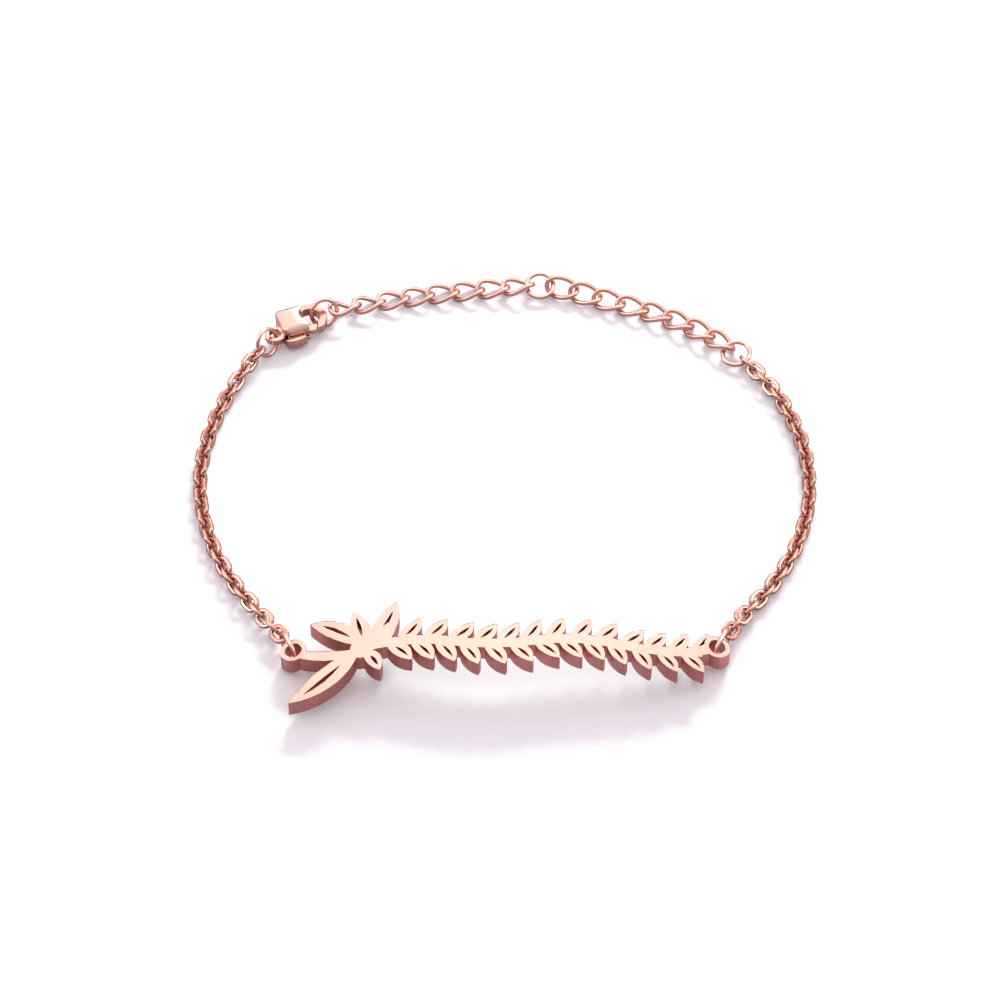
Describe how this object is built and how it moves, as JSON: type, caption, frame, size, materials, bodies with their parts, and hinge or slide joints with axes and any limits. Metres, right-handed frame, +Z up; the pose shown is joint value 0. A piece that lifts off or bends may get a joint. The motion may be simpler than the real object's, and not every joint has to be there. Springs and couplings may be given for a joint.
{
  "type": "nameplate bracelet",
  "caption": "Bracelet with a pierced, gently arched leafy plate on fine cable chains, closed by a lobster clasp on a curb chain extender.",
  "frame": {"origin": "on the table, under the middle of the loop's box", "axes": "+Z up; +X from the plate's left eyelet to its right one as the plate is read from the front; the plate's side of the loop is towards -Y"},
  "size_m": [0.0744, 0.0682, 0.0059],
  "materials": {
    "plate_metal": "rose-gold plated stainless steel, polished faces and finely brushed walls",
    "chain_metal": "rose-gold plated stainless steel, polished",
    "clasp_metal": "rose-gold plated stainless steel, soft polished"
  },
  "bodies": {
    "bracelet": {"nameplate": "plate_metal", "eyelet_ring_left": "chain_metal", "eyelet_ring_right": "chain_metal", "chain_left": "chain_metal", "chain_right": "chain_metal", "clasp_ring": "chain_metal", "clasp_body": "clasp_metal", "clasp_rivet": "clasp_metal", "extender_first_ring": "chain_metal", "extender_chain_near": "chain_metal", "extender_middle_ring": "chain_metal", "extender_chain_far": "chain_metal", "extender_end_ring": "chain_metal"},
    "lever": {"clasp_lever": "clasp_metal"}
  },
  "joints": [
    {"name": "lever_hinge", "type": "hinge", "parent": "bracelet", "child": "lever", "pos_m": [-0.02508, 0.02459, 0.00155], "axis": [0, 0, 1], "range_deg": [0, 18], "stiffness_Nm_per_rad": 0.002, "springref_deg": -11.46}
  ]
}
